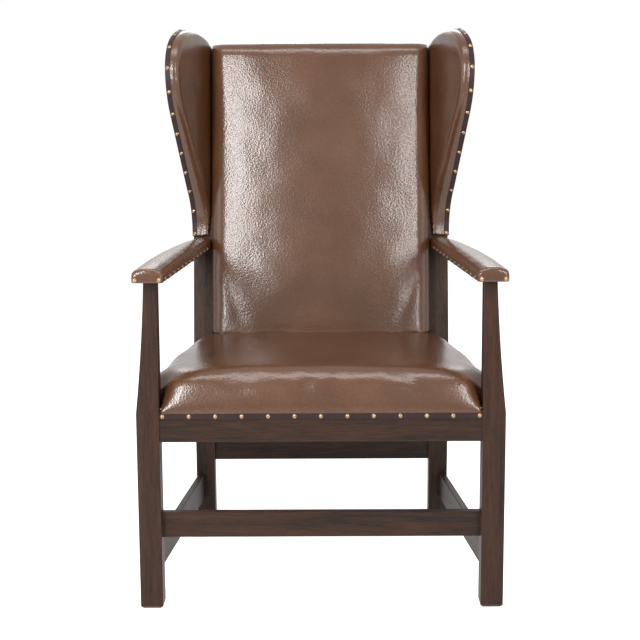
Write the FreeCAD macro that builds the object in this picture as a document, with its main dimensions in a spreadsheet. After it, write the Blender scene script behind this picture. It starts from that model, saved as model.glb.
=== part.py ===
import FreeCAD
import Part
import Sketcher
import math
import os

# A high-backed wing armchair. A box-stretcher frame of stained beech carries a sprung and stuffed seat,
# a raked stuffed back, two flared wings and two slim padded arms, all covered in leather that ends in
# a dark leather band under round-headed nails.
#
# Frame: millimetres, +Z up, the chair faces -Y, and the origin is on the floor in the middle of its box.
# Left and right are the sitter's, so left is +X. Each left piece is made first and the right one mirrors it.

Vector = FreeCAD.Vector

# Driving dimensions: name, value, what it is.
SIZES = [
    ("leg_front", -350.6, "front face of the front legs, from the middle of the depth"),
    ("leg_width", 43.0, "front leg across"),
    ("leg_depth", 46.0, "front leg front to back"),
    ("leg_outer", 345.0, "outer face of the front leg from the middle"),
    ("crease_height", 380.0, "where the leg turns into the slimmer arm post"),
    ("post_top_width", 24.0, "arm post across at its top"),
    ("post_lean", 10.0, "how far the post's front face leans back"),
    ("post_sag", 2.2, "hollow of the post's two curved faces"),
    ("post_top", 638.0, "top of the arm post, housed in the arm board"),
    ("foot_chamfer", 5.0, "chamfer round each foot"),
    ("arris", 1.6, "rounding of the long edges of the timber"),
    ("rear_setback", 551.0, "front face of the front legs to front face of the rear legs"),
    ("rear_outer", 281.0, "outer face of the rear leg from the middle"),
    ("rear_width", 41.0, "rear leg across"),
    ("rear_depth", 45.0, "rear leg front to back at the seat"),
    ("rear_kick", 12.0, "how far the rear foot stands back"),
    ("rear_foot_depth", 38.0, "rear leg front to back at the floor"),
    ("kick_height", 330.0, "where the rear leg starts to kick back"),
    ("rake_height", 400.0, "where the back post starts to rake"),
    ("back_rake", 12.5, "rake of the back post, degrees"),
    ("rear_post_top", 1042.0, "top of the back post"),
    ("rear_top_depth", 30.0, "back post front to back at its top"),
    ("rail_bottom", 327.0, "underside of the seat rails"),
    ("rail_height", 58.0, "seat rail depth"),
    ("rail_thick", 24.0, "seat rail thickness"),
    ("rail_setback", 4.0, "front seat rail face behind the leg face"),
    ("rear_rail_setback", 10.0, "rear seat rail face behind the rear leg's front face"),
    ("side_rail_setback", 2.0, "side seat rail inside the legs' outer faces"),
    ("tenon_length", 18.0, "every tenon"),
    ("tenon_thick", 12.0, "every tenon"),
    ("tenon_shoulder", 8.0, "shoulder above and below a tenon"),
    ("stretcher_bottom", 137.0, "underside of the front and rear stretchers"),
    ("stretcher_height", 49.0, "front and rear stretchers"),
    ("stretcher_thick", 18.0, "front and rear stretchers"),
    ("stretcher_setback", 16.0, "stretcher face behind the leg face"),
    ("side_stretcher_bottom", 52.0, "underside of the side stretchers"),
    ("side_stretcher_height", 55.0, "side stretchers"),
    ("side_stretcher_thick", 14.0, "side stretchers"),
    ("side_stretcher_front", 330.0, "outer face of a side stretcher at the front leg"),
    ("side_stretcher_rear", 276.0, "outer face of a side stretcher at the rear leg"),
    ("back_rail_height", 58.0, "top and lower rails of the back"),
    ("back_rail_thick", 22.0, "top and lower rails of the back"),
    ("back_rail_inset", 4.0, "back rails behind the posts' front plane"),
    ("back_rail_drop", 4.0, "top rail below the tops of the posts, along the rake"),
    ("back_rail_foot", 20.0, "underside of the back's lower rail, along the rake"),
    ("block_bottom", 335.0, "underside of the corner blocks"),
    ("block_height", 42.0, "corner blocks"),
    ("block_across", 62.0, "corner block along the front or rear rail, from the leg"),
    ("block_reach", 66.0, "corner block along the side rail, from the leg"),
    ("block_gap", 2.0, "corner block clear of the side rail, filled with glue"),
    ("screw_radius", 2.5, "shank of a frame screw"),
    ("screw_head", 5.0, "radius of a frame screw's head"),
    ("screw_length", 52.0, "frame screw, from the top of its head"),
    ("arm_reach", 23.0, "arm ahead of the front legs"),
    ("arm_under", 632.0, "underside of the arm at its front end"),
    ("arm_drop", 20.0, "how much lower the arm is at its rear end"),
    ("arm_outer", 345.0, "outer side of the arm at the front"),
    ("arm_width", 58.0, "arm across at the front"),
    ("arm_rear_outer", 280.0, "outer side of the arm at the back post"),
    ("arm_rear_width", 39.0, "arm across at the back post"),
    ("arm_bow", 8.0, "outward bow of the arm's outer side"),
    ("arm_shoulder", 22.0, "height of the arm where its sides round over"),
    ("arm_crown", 5.0, "crown of the arm across"),
    ("arm_arch", 4.0, "extra height of the arm's stuffing at mid-length"),
    ("arm_roll", 8.0, "rounding of the arm's top edges and front corners"),
    ("arm_board", 12.0, "arm board thickness"),
    ("leather", 2.0, "leather thickness"),
    ("slack", 0.3, "gap between a soft piece and its neighbour"),
    ("band_width", 10.0, "dark leather band"),
    ("band_thick", 1.5, "dark leather band"),
    ("nail_head", 4.4, "radius of a nail's head"),
    ("nail_rise", 2.5, "height of a nail's head"),
    ("nail_shank", 0.8, "radius of a nail's shank"),
    ("nail_length", 12.0, "length of a nail's shank"),
    ("nail_pitch", 49.3, "distance between nails"),
    ("wing_nail_pitch", 50.2, "distance between nails along the wings"),
    ("seat_skirt", 371.0, "lower edge of the seat's leather"),
    ("seat_lip", 412.0, "where the front of the seat starts to round over"),
    ("seat_shoulder", 443.0, "height of the seat above its front roll, beside the crown"),
    ("seat_rear", 425.0, "height of the seat at the back"),
    ("seat_crown", 13.0, "crown of the seat across"),
    ("seat_roll", 36.0, "depth of the seat's front roll"),
    ("seat_side_roll", 34.0, "radius of the seat's side rolls"),
    ("spring_wire", 1.8, "radius of the seat spring's wire"),
    ("spring_half_width", 14.0, "half the straight run of a seat spring"),
    ("spring_bend", 11.0, "radius of a seat spring's bends"),
    ("spring_spacing", 105.0, "between neighbouring seat springs"),
    ("cloth", 1.0, "hessian and dust cloth thickness"),
    ("webbing_width", 50.0, "webbing strip across"),
    ("webbing_thick", 1.8, "webbing strip thickness"),
    ("back_half_width", 238.0, "side of the stuffed back from the middle"),
    ("back_foot", 434.0, "lower end of the stuffed back, just over the seat"),
    ("back_depth", 47.0, "stuffed back ahead of the posts, at its shoulders"),
    ("back_swell", 3.0, "how much deeper the back is low down"),
    ("back_crown", 9.0, "crown of the back across"),
    ("back_roll", 30.0, "radius of the rounded sides and top of the back"),
    ("back_top", 668.0, "top of the stuffed back, along the rake"),
    ("back_cap", 28.0, "how far the top of the back reaches behind the posts' front"),
    ("wing_foot", 243.5, "lower end of the wing, on the arm, along the rake"),
    ("wing_foot_reach", 6.0, "wing ahead of the post at its foot"),
    ("wing_ankle", 341.0, "end of the hollow over the arm, along the rake"),
    ("wing_ankle_reach", 50.0, "wing ahead of the post there"),
    ("wing_elbow", 481.0, "end of the straight sweep, along the rake"),
    ("wing_elbow_reach", 178.0, "wing ahead of the post there"),
    ("wing_nose", 575.0, "foremost point of the wing, along the rake"),
    ("wing_reach", 221.0, "wing ahead of the post at its foremost point"),
    ("wing_shoulder", 645.0, "start of the wing's top curve, along the rake"),
    ("wing_shoulder_reach", 185.0, "wing ahead of the post there"),
    ("wing_heel", 673.0, "top of the wing over the post, along the rake"),
    ("wing_hollow", 13.0, "depth of the hollow over the arm"),
    ("wing_front_bulge", 9.0, "bulge of the curve under the foremost point"),
    ("wing_nose_bulge", 9.5, "bulge of the curve over the foremost point"),
    ("wing_top_bulge", 23.0, "rise of the wing's top curve"),
    ("wing_outer", 323.5, "outer face of the wing at its foremost point, from the middle"),
    ("wing_thick", 28.0, "thickness of the wing at its foremost point"),
    ("wing_root_thick", 42.3, "thickness of the wing over the post"),
    ("wing_roll", 12.0, "rounding of the wing's inner edge"),
    ("wing_tongue", 20.0, "depth of the wing's tongue over the top of the post"),
    ("wing_frame_width", 34.0, "width of the wing's sawn frame"),
    ("wing_frame_cover", 4.0, "padding between the wing's sawn frame and the leather on its edge"),
    ("wing_frame_foot", 275.0, "lower end of the wing's sawn frame, along the rake"),
    ("wing_frame_thick", 14.0, "thickness of the wing's sawn frame"),
]

doc = FreeCAD.newDocument("wing_armchair")
sheet = doc.addObject("Spreadsheet::Sheet", "Sizes")
for row, (alias, value, meaning) in enumerate(SIZES, start=1):
    sheet.set("A%d" % row, meaning)
    sheet.set("B%d" % row, "%g" % value)
    sheet.setAlias("B%d" % row, alias)
doc.recompute()

SUBPARTS = []


def size(expression):
    """The value of an expression in the sheet's names, such as leg_front + leg_depth."""
    return float(sheet.evalExpression(expression))


def bound(expression):
    """The same expression as another object writes it, with each name looked up in the sheet."""
    text, word = "", ""
    for letter in expression + " ":
        if letter.isalnum() or letter in "_.":
            word += letter
            continue
        text += "Sizes." + word if sheet.getCellFromAlias(word) else word
        text, word = text + letter, ""
    return text.strip()


def keep(thing, label):
    """Makes thing a sub-part that is written out under this label."""
    thing.Label = label
    SUBPARTS.append(thing)
    return thing


def mirrored(source, label):
    """The other side's piece: source mirrored across the chair's middle plane."""
    mirror = doc.addObject("Part::Mirroring", label)
    mirror.Source = source
    mirror.Base = Vector(0, 0, 0)
    mirror.Normal = Vector(1, 0, 0)
    return keep(mirror, label)


def pair(source, stem):
    """Keeps source as the left piece and adds its mirror as the right piece."""
    keep(source, stem + "_left")
    return source, mirrored(source, stem + "_right")


def cut(base, tools, label):
    """Base less every tool, as a Part boolean."""
    if len(tools) == 1:
        tool = tools[0]
    else:
        tool = doc.addObject("Part::Compound", label + "_tools")
        tool.Links = tools
    result = doc.addObject("Part::Cut", label)
    result.Base = base
    result.Tool = tool
    return result


def shaped(label, shape):
    """A feature that holds a shape made with Part's own functions."""
    feature = doc.addObject("Part::Feature", label)
    feature.Shape = shape
    return feature


# Sketches and pads

def sketch_on(body, role, offset="0"):
    """A sketch on one of the body's origin planes, moved along the plane's normal."""
    plane = [p for p in body.Origin.OriginFeatures if p.Role == role][0]
    sketch = body.newObject("Sketcher::SketchObject", body.Name + "_sketch")
    sketch.AttachmentSupport = (plane, [""])
    sketch.MapMode = "FlatFace"
    sketch.setExpression(".AttachmentOffset.Base.z", bound(offset))
    return sketch


def outline(sketch, corners, sags=None):
    """Closes an outline through corners, each a pair of expressions. sags gives the hollow or bulge of the
    side that starts at a corner: an expression, then 1 where the arc lies to the left of the side and -1
    where it lies to the right."""
    sags = sags or {}
    points = [Vector(size(x), size(y), 0) for x, y in corners]
    count = len(points)
    ends = []
    for index, start in enumerate(points):
        end = points[(index + 1) % count]
        if index not in sags:
            sketch.addGeometry(Part.LineSegment(start, end), False)
            ends.append((1, 2))
            continue
        sag, side = size(sags[index][0]), sags[index][1]
        chord = end - start
        left = Vector(-chord.y, chord.x, 0).normalize()
        radius = chord.Length ** 2 / (8 * sag) + sag / 2
        centre = (start + end) * 0.5 + left * ((sag - radius) * side)
        # An arc is stored anticlockwise, so one that lies to the left of its side runs from end to start.
        first, last = (start, end) if side < 0 else (end, start)
        angles = [math.atan2(p.y - centre.y, p.x - centre.x) for p in (first, last)]
        sketch.addGeometry(Part.ArcOfCircle(Part.Circle(centre, Vector(0, 0, 1), radius), *angles), False)
        ends.append((1, 2) if side < 0 else (2, 1))
    for index in range(count):
        following = (index + 1) % count
        sketch.addConstraint(
            Sketcher.Constraint("Coincident", index, ends[index][1], following, ends[following][0])
        )
    for index, (x, y) in enumerate(corners):
        for kind, expression in (("DistanceX", x), ("DistanceY", y)):
            number = sketch.addConstraint(
                Sketcher.Constraint(kind, -1, 1, index, ends[index][0], size(expression))
            )
            sketch.setExpression("Constraints[%d]" % number, bound(expression))
    for index, (sag, side) in sags.items():
        (xa, ya), (xb, yb) = corners[index], corners[(index + 1) % count]
        radius = "((%s)-(%s))^2/(8*%s) + ((%s)-(%s))^2/(8*%s) + %s/2" % (xb, xa, sag, yb, ya, sag, sag)
        number = sketch.addConstraint(Sketcher.Constraint("Radius", index, size(radius)))
        sketch.setExpression("Constraints[%d]" % number, bound(radius))


def pad(body, sketch, length, reverse=False):
    """Pads a sketch by a length that is bound to the sheet."""
    feature = body.newObject("PartDesign::Pad", body.Name + "_pad")
    feature.Profile = sketch
    feature.Reversed = reverse
    feature.setExpression("Length", bound(length))
    sketch.Visibility = False
    return feature


def pocket(body, sketch, reverse=False):
    """Cuts a sketch right through the body on one side of its plane."""
    feature = body.newObject("PartDesign::Pocket", body.Name + "_pocket")
    feature.Profile = sketch
    feature.Type = "ThroughAll"
    feature.Reversed = reverse
    return feature


def dressed(body, kind, amount, chosen):
    """Rounds or chamfers the edges of the body's tip that chosen() picks."""
    doc.recompute()
    base = body.Tip
    names = ["Edge%d" % n for n, edge in enumerate(base.Shape.Edges, start=1) if chosen(edge)]
    feature = body.newObject("PartDesign::" + kind, body.Name + "_" + kind.lower())
    feature.Base = (base, names)
    feature.setExpression("Radius" if kind == "Fillet" else "Size", bound(amount))
    return feature


def long_edge(edge):
    """True for the straight long edges of a piece of timber, which are eased."""
    return edge.Length > 150


def upright_edge(edge):
    """True for the long upright edges of a leg."""
    return long_edge(edge) and edge.BoundBox.XLength + edge.BoundBox.YLength < 0.01


def new_body(name):
    return doc.addObject("PartDesign::Body", name)


# Plain shapes

def box(x, y, z):
    """A plain box between pairs of limits."""
    return Part.makeBox(x[1] - x[0], y[1] - y[0], z[1] - z[0], Vector(x[0], y[0], z[0]))


def prism(points, along):
    """A flat outline through points, drawn out by the vector along."""
    return Part.Face(Part.makePolygon(list(points) + [points[0]])).extrude(along)


def moved(shape, placement):
    """A copy of shape in another frame."""
    copy = shape.copy()
    copy.Placement = placement.multiply(copy.Placement)
    return copy


def flipped(shape):
    """The same shape on the other side of the chair."""
    return shape.mirror(Vector(0, 0, 0), Vector(1, 0, 0))


# The frame

REAR_FRONT = "leg_front + rear_setback"
LEG_INNER = "leg_outer - leg_width"
REAR_INNER = "rear_outer - rear_width"


def front_leg():
    """Front leg and arm post in one piece: square below the crease, then tapering on its outer side."""
    body = new_body("front_leg_blank")
    front = sketch_on(body, "XZ_Plane", "-(leg_front)")
    outline(
        front,
        [
            (LEG_INNER, "0"),
            ("leg_outer", "0"),
            ("leg_outer", "crease_height"),
            (LEG_INNER + " + post_top_width", "post_top"),
            (LEG_INNER, "post_top"),
        ],
        {2: ("post_sag", 1)},
    )
    pad(body, front, "leg_depth", True)
    side = sketch_on(body, "YZ_Plane")
    outline(
        side,
        [
            ("leg_front - 5", "crease_height"),
            ("leg_front", "crease_height"),
            ("leg_front + post_lean", "post_top"),
            ("leg_front - 5", "post_top"),
        ],
        {1: ("post_sag", -1)},
    )
    pocket(body, side, True)
    dressed(body, "Chamfer", "foot_chamfer", lambda edge: edge.BoundBox.ZMax < 0.01)
    dressed(body, "Fillet", "arris", upright_edge)
    return body


def rear_leg():
    """Rear leg and back post in one piece: kicked back at the foot and raked above the seat."""
    body = new_body("rear_leg_blank")
    rise = "(rear_post_top - rake_height)"
    top_front = REAR_FRONT + " + %s * tan(back_rake * 1deg)" % rise
    side = sketch_on(body, "YZ_Plane", REAR_INNER)
    outline(
        side,
        [
            (REAR_FRONT + " + rear_kick", "0"),
            (REAR_FRONT + " + rear_kick + rear_foot_depth", "0"),
            (REAR_FRONT + " + rear_depth", "kick_height"),
            (REAR_FRONT + " + rear_depth", "rake_height"),
            (top_front + " + rear_top_depth", "rear_post_top"),
            (top_front, "rear_post_top"),
            (REAR_FRONT, "rake_height"),
            (REAR_FRONT, "kick_height"),
        ],
    )
    pad(body, side, "rear_width")
    dressed(body, "Chamfer", "foot_chamfer", lambda edge: edge.BoundBox.ZMax < 0.01)
    return body


def straight_rail(name, inner, face, bottom, height, thick):
    """A rail across the chair between two legs, with a shouldered tenon at each end."""
    body = new_body(name)
    for reach, near, far, low, deep in (
        (inner, "0", thick, bottom, height),
        (
            inner + " + tenon_length",
            "(%s - tenon_thick)/2" % thick,
            "(%s + tenon_thick)/2" % thick,
            bottom + " + tenon_shoulder",
            height + " - 2*tenon_shoulder",
        ),
    ):
        plan = sketch_on(body, "XY_Plane", low)
        outline(
            plan,
            [
                ("-(%s)" % reach, "%s + %s" % (face, near)),
                (reach, "%s + %s" % (face, near)),
                (reach, "%s + %s" % (face, far)),
                ("-(%s)" % reach, "%s + %s" % (face, far)),
            ],
        )
        pad(body, plan, deep)
    return body


def side_rail(name, front_outer, rear_outer, rear_end, bottom, height, thick):
    """A rail from a front leg to a rear leg, square in section and running inwards to the rear."""
    body = new_body(name)
    start, end = "(leg_front + leg_depth)", "(%s)" % rear_end
    slope = "((%s) - (%s))/(%s - %s)" % (rear_outer, front_outer, end, start)
    for extra, inset, across, low, deep in (
        ("0", "0", thick, bottom, height),
        (
            "tenon_length",
            "(%s - tenon_thick)/2" % thick,
            "tenon_thick",
            bottom + " + tenon_shoulder",
            height + " - 2*tenon_shoulder",
        ),
    ):
        near = "%s - %s" % (start, extra)
        far = "%s + %s" % (end, extra)
        at_near = "%s - %s - %s*%s" % (front_outer, inset, slope, extra)
        at_far = "%s - %s + %s*%s" % (rear_outer, inset, slope, extra)
        plan = sketch_on(body, "XY_Plane", low)
        outline(
            plan,
            [
                (at_near + " - " + across, near),
                (at_near, near),
                (at_far, far),
                (at_far + " - " + across, far),
            ],
        )
        pad(body, plan, deep)
    return body


def raked(across_x, along, behind, label):
    """A board between the back posts, in the posts' raked plane: half its width, its two heights along
    the rake and its two depths behind the posts' front plane, all as expressions."""
    rake = size("back_rake")
    board = doc.addObject("Part::Box", label)
    low, high = along
    near, far = behind
    board.setExpression("Length", bound("2*(%s)" % across_x))
    board.setExpression("Width", bound("(%s) - (%s)" % (far, near)))
    board.setExpression("Height", bound("(%s) - (%s)" % (high, low)))
    board.Placement = FreeCAD.Placement(
        Vector(0, 0, 0), FreeCAD.Rotation(Vector(1, 0, 0), -rake)
    )
    board.setExpression(".Placement.Base.x", bound("-(%s)" % across_x))
    board.setExpression(
        ".Placement.Base.y",
        bound(REAR_FRONT + " + (%s)*sin(back_rake*1deg) + (%s)*cos(back_rake*1deg)" % (low, near)),
    )
    board.setExpression(
        ".Placement.Base.z",
        bound("rake_height + (%s)*cos(back_rake*1deg) - (%s)*sin(back_rake*1deg)" % (low, near)),
    )
    return board


RAKED_TOP = "(rear_post_top - rake_height)/cos(back_rake*1deg)"


def build_frame():
    """The timber: legs, rails and stretchers, with mortises that their own tenons cut. Returns the left
    front leg, and the left rear leg as it is before its mortises."""
    front_rail = straight_rail(
        "front_seat_rail", LEG_INNER, "leg_front + rail_setback", "rail_bottom", "rail_height", "rail_thick"
    )
    rear_rail = straight_rail(
        "rear_seat_rail", REAR_INNER, REAR_FRONT + " + rear_rail_setback",
        "rail_bottom", "rail_height", "rail_thick",
    )
    front_bar = straight_rail(
        "front_stretcher", LEG_INNER, "leg_front + stretcher_setback",
        "stretcher_bottom", "stretcher_height", "stretcher_thick",
    )
    rear_bar = straight_rail(
        "rear_stretcher", REAR_INNER, REAR_FRONT + " + stretcher_setback",
        "stretcher_bottom", "stretcher_height", "stretcher_thick",
    )
    seat_side = side_rail(
        "side_seat_rail", "leg_outer - side_rail_setback", "rear_outer - side_rail_setback", REAR_FRONT,
        "rail_bottom", "rail_height", "rail_thick",
    )
    low_side = side_rail(
        "side_stretcher", "side_stretcher_front", "side_stretcher_rear", REAR_FRONT + " + rear_kick",
        "side_stretcher_bottom", "side_stretcher_height", "side_stretcher_thick",
    )
    for body in (front_rail, rear_rail, front_bar, rear_bar, seat_side, low_side):
        dressed(body, "Fillet", "arris", long_edge)
    top_rail = raked(
        REAR_INNER + " + tenon_length",
        (RAKED_TOP + " - back_rail_drop - back_rail_height", RAKED_TOP + " - back_rail_drop"),
        ("back_rail_inset", "back_rail_inset + back_rail_thick"),
        "back_top_rail",
    )
    lower_rail = raked(
        REAR_INNER + " + tenon_length",
        ("back_rail_foot", "back_rail_foot + back_rail_height"),
        ("back_rail_inset", "back_rail_inset + back_rail_thick"),
        "back_lower_rail",
    )
    doc.recompute()
    holes = build_blocks()
    fore = cut(front_leg(), [front_rail, seat_side, front_bar, low_side, holes], "front_leg")
    post = rear_leg()
    aft = cut(
        post, [rear_rail, seat_side, rear_bar, low_side, top_rail, lower_rail, holes], "rear_leg"
    )
    pair(fore, "front_leg")
    pair(aft, "rear_leg")
    keep(front_rail, "front_seat_rail")
    keep(rear_rail, "rear_seat_rail")
    pair(seat_side, "side_seat_rail")
    keep(front_bar, "front_stretcher")
    keep(rear_bar, "rear_stretcher")
    pair(low_side, "side_stretcher")
    keep(top_rail, "back_top_rail")
    keep(lower_rail, "back_lower_rail")
    return fore, post


def corner_block(name, corners):
    """A glued block across an inner corner of the seat frame, cut to fit round the leg."""
    body = new_body(name)
    plan = sketch_on(body, "XY_Plane", "block_bottom")
    outline(plan, corners)
    pad(body, plan, "block_height")
    return body


def frame_screw(head, way):
    """A countersunk screw whose head's top is centred on head and which points along way."""
    radius, shank = size("screw_head"), size("screw_radius")
    cone = Part.makeCone(radius, shank, radius - shank, head, way)
    return cone.fuse(Part.makeCylinder(shank, size("screw_length"), head, way)).removeSplitter()


def build_blocks():
    """The corner blocks and the screws that hold them to the legs. Returns the screws' shape."""
    slope = "((rear_outer - leg_outer)/(rear_setback - leg_depth))"
    beside = " - side_rail_setback - rail_thick - block_gap"
    front_rail = "leg_front + rail_setback + rail_thick + slack"
    rear_rail = REAR_FRONT + " + rear_rail_setback - slack"
    front_corners = [
        (LEG_INNER + " - block_across", front_rail),
        (LEG_INNER + " - slack", front_rail),
        (LEG_INNER + " - slack", "leg_front + leg_depth + slack"),
        ("leg_outer" + beside, "leg_front + leg_depth + slack"),
        ("leg_outer" + beside + " + %s*block_reach" % slope, "leg_front + leg_depth + block_reach"),
    ]
    rear_corners = [
        (REAR_INNER + " - block_across", rear_rail),
        (REAR_INNER + " - slack", rear_rail),
        (REAR_INNER + " - slack", REAR_FRONT + " - slack"),
        ("rear_outer" + beside, REAR_FRONT + " - slack"),
        ("rear_outer" + beside + " - %s*block_reach" % slope, REAR_FRONT + " - block_reach"),
    ]
    front = corner_block("front_block", front_corners)
    rear = corner_block("rear_block", rear_corners)
    doc.recompute()
    leg_middles = [
        (LEG_INNER + " + leg_width/2", "leg_front + leg_depth/2"),
        (REAR_INNER + " + rear_width/2", REAR_FRONT + " + rear_depth/2"),
    ]
    screws = []
    for corners, (x, y) in zip((front_corners, rear_corners), leg_middles):
        level = size("block_bottom + block_height/2")
        near, far = [Vector(size(u), size(v), level) for u, v in (corners[0], corners[-1])]
        head = (near + far) * 0.5
        screws.append(frame_screw(head, (Vector(size(x), size(y), head.z) - head).normalize()))
    screws += [flipped(screw) for screw in screws]
    keep(shaped("corner_block_screws", Part.makeCompound(screws)), "corner_block_screws")
    holes = shaped("screw_holes", Part.makeCompound(screws))
    both = doc.addObject("Part::Compound", "all_blocks")
    left = [front, rear]
    mirrors = []
    for block in left:
        other = doc.addObject("Part::Mirroring", block.Name + "_mirror")
        other.Source, other.Base, other.Normal = block, Vector(0, 0, 0), Vector(1, 0, 0)
        mirrors.append(other)
    both.Links = left + mirrors
    keep(cut(both, [holes], "corner_blocks"), "corner_blocks")
    return holes


# Shapes for the upholstery

SEAT_FRONT = size("leg_front + rail_setback - leather")
SEAT_REAR = size(REAR_FRONT + " + 6")
RAKE = FreeCAD.Placement(
    Vector(0, size(REAR_FRONT), size("rake_height")),
    FreeCAD.Rotation(Vector(1, 0, 0), -size("back_rake")),
)


def crowned(place, near, far, base, shoulder, crown, radius):
    """One section of a cushion: a flat base, upright sides, a rounded shoulder on each side and a crown.
    place puts a point that is across and up into the section's plane."""
    corner = radius * (1 - math.sqrt(0.5))
    points = [
        place(near, base),
        place(near, shoulder - radius),
        place(near + corner, shoulder - corner),
        place(near + radius, shoulder),
        place((near + far) / 2, shoulder + crown),
        place(far - radius, shoulder),
        place(far - corner, shoulder - corner),
        place(far, shoulder - radius),
        place(far, base),
    ]
    return Part.Wire([
        Part.LineSegment(points[0], points[1]).toShape(),
        Part.Arc(points[1], points[2], points[3]).toShape(),
        Part.Arc(points[3], points[4], points[5]).toShape(),
        Part.Arc(points[5], points[6], points[7]).toShape(),
        Part.LineSegment(points[7], points[8]).toShape(),
        Part.LineSegment(points[8], points[0]).toShape(),
    ])


QUARTER = [math.radians(angle) for angle in (0, 20, 40, 60, 75, 90)]


def seat_half_width(y):
    """Half the seat's width, which narrows towards the back posts."""
    start, end = size("leg_front + leg_depth"), size(REAR_FRONT)
    return size("leg_outer") + (y - start) / (end - start) * size("rear_outer - leg_outer")


def seat_form(inset, base):
    """The stuffed seat: a roll along its front edge, rolls down its sides and a crown that dies away
    towards the back. inset gives the inner face of its leather."""
    roll, lip, top = size("seat_roll"), size("seat_lip"), size("seat_shoulder")
    stations = [
        (SEAT_FRONT + inset + (roll - inset) * (1 - math.cos(a)), lip + (top - lip - inset) * math.sin(a))
        for a in QUARTER
    ]
    run = SEAT_REAR - SEAT_FRONT - roll
    for share in (0.12, 0.25, 0.4, 0.55, 0.7, 0.85, 1.0):
        fall = (top - size("seat_rear")) * share ** 1.3
        stations.append((SEAT_FRONT + roll + share * run + (inset if share == 1 else 0), top - inset - fall))
    sections = []
    for y, height in stations:
        half = seat_half_width(y) - inset
        crown = size("seat_crown") * (1 - 0.7 * (y - SEAT_FRONT) / run)
        sections.append(
            crowned(
                lambda across, up, y=y: Vector(across, y, up),
                -half, half, base, height, crown, size("seat_side_roll") - inset,
            )
        )
    return Part.makeLoft(sections, True, True)


def leg_notches(gap):
    """The room that the seat's cover leaves round the four posts."""
    rear = size(REAR_FRONT) - gap
    front = box(
        (size(LEG_INNER) - gap, size("leg_outer") + 20),
        (SEAT_FRONT - 5, size("leg_front + leg_depth") + gap),
        (300, 600),
    )
    back = box((size(REAR_INNER) - gap, size("rear_outer") + 20), (rear, rear + 60), (300, 600))
    return Part.makeCompound([front, back, flipped(front), flipped(back)])


def back_form(inset, rear):
    """The stuffed back, up the rake: rounded sides, a crown across and a roll along the top that carries
    on over the top rail. rear is its hind face."""
    depth, roll, top = size("back_depth"), size("back_roll"), size("back_top") - inset
    low = size("back_foot - rake_height") - 30
    swell = size("back_swell")
    stations = [(low, depth + swell), (low + 160, depth + swell), (low + 360, depth)]
    for angle in QUARTER:
        stations.append((top - roll + roll * math.sin(angle) * 0.985, depth - roll + roll * math.cos(angle)))
    half = size("back_half_width") - inset
    sections = [
        crowned(
            lambda across, forward, height=height: Vector(across, -forward, height),
            -half, half, -rear, forward - inset, size("back_crown") * min(1, forward / depth),
            min(roll, forward - 2) - inset,
        )
        for height, forward in stations
    ]
    cap = box((-half, half), (-10, size("back_cap") - inset), (size("back_top") - 12, top))
    hind_edge = [e for e in cap.Edges if e.BoundBox.YMin > 10 and e.BoundBox.ZMin > top - 1]
    cap = cap.makeFillet(7, hind_edge)
    return moved(Part.makeLoft(sections, True, True).fuse(cap).removeSplitter(), RAKE)


def nail():
    """A round-headed nail that points down, with the underside of its head on the origin."""
    rise, head = size("nail_rise"), size("nail_head")
    radius = (rise ** 2 + head ** 2) / (2 * rise)
    ball = Part.makeSphere(radius, Vector(0, 0, rise - radius))
    cap = ball.common(box((-head, head), (-head, head), (0, rise + 1)))
    shank = Part.makeCylinder(size("nail_shank"), size("nail_length"), Vector(0, 0, -size("nail_length")))
    return cap.fuse(shank).removeSplitter()


NAIL = nail()


def nails(places):
    """A nail at each place, a pair of a point and the direction that the head faces."""
    driven = []
    for point, out in places:
        turn = FreeCAD.Rotation(Vector(0, 0, 1), out)
        driven.append(moved(NAIL, FreeCAD.Placement(point, turn)))
    return Part.makeCompound(driven)


def spread(start, end, pitch=None):
    """Evenly spaced points from start to end, about one pitch apart."""
    count = max(1, round((end - start).Length / (pitch or size("nail_pitch"))))
    return [start + (end - start) * (index / count) for index in range(count + 1)]


# Arms, in a frame that starts under the arm's front end and follows its fall to the rear

ARM_LENGTH = "rear_setback + arm_reach + (arm_under - arm_drop/2 - rake_height) * tan(back_rake * 1deg)"
ARM_RUN = size(ARM_LENGTH)
ARM = FreeCAD.Placement(
    Vector(0, size("leg_front - arm_reach"), size("arm_under")),
    FreeCAD.Rotation(Vector(1, 0, 0), -math.degrees(math.atan2(size("arm_drop"), ARM_RUN))),
)


def behind_posts(gap):
    """Everything behind a plane just in front of the back posts."""
    return moved(box((-500, 500), (-gap, 300), (-400, 900)), RAKE)


def arm_sides(along):
    """The arm's inner and outer side at a distance from its front end."""
    share = along / ARM_RUN
    bow = size("arm_bow") * 4 * share * (1 - share)
    outer = size("arm_outer") + share * size("arm_rear_outer - arm_outer")
    width = size("arm_width") + share * size("arm_rear_width - arm_width")
    return outer - width, outer + bow


def arm_form(inset, base):
    """The stuffed arm: upright sides, rounded top edges and front corners, and a low crown."""
    roll = size("arm_roll")
    stations = [(inset + (roll - inset) * (1 - math.cos(a)), 1 - math.sin(a)) for a in QUARTER]
    stations += [(ARM_RUN * share, 0) for share in (0.15, 0.3, 0.45, 0.6, 0.75, 0.9, 1.04)]
    sections = []
    for along, drawn_in in stations:
        inner, outer = arm_sides(along)
        share = along / ARM_RUN
        arch = size("arm_arch") * 4 * share * (1 - share)
        sections.append(
            crowned(
                lambda across, up, along=along: Vector(across, along, up),
                inner + inset + roll * drawn_in / 2,
                outer - inset - roll * drawn_in / 2,
                base,
                size("arm_shoulder") - inset + arch - (roll - inset) * drawn_in,
                size("arm_crown") * (1 - drawn_in / 2) * (1 - 0.6 * share),
                roll - inset,
            )
        )
    return moved(Part.makeLoft(sections, True, True), ARM)


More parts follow.
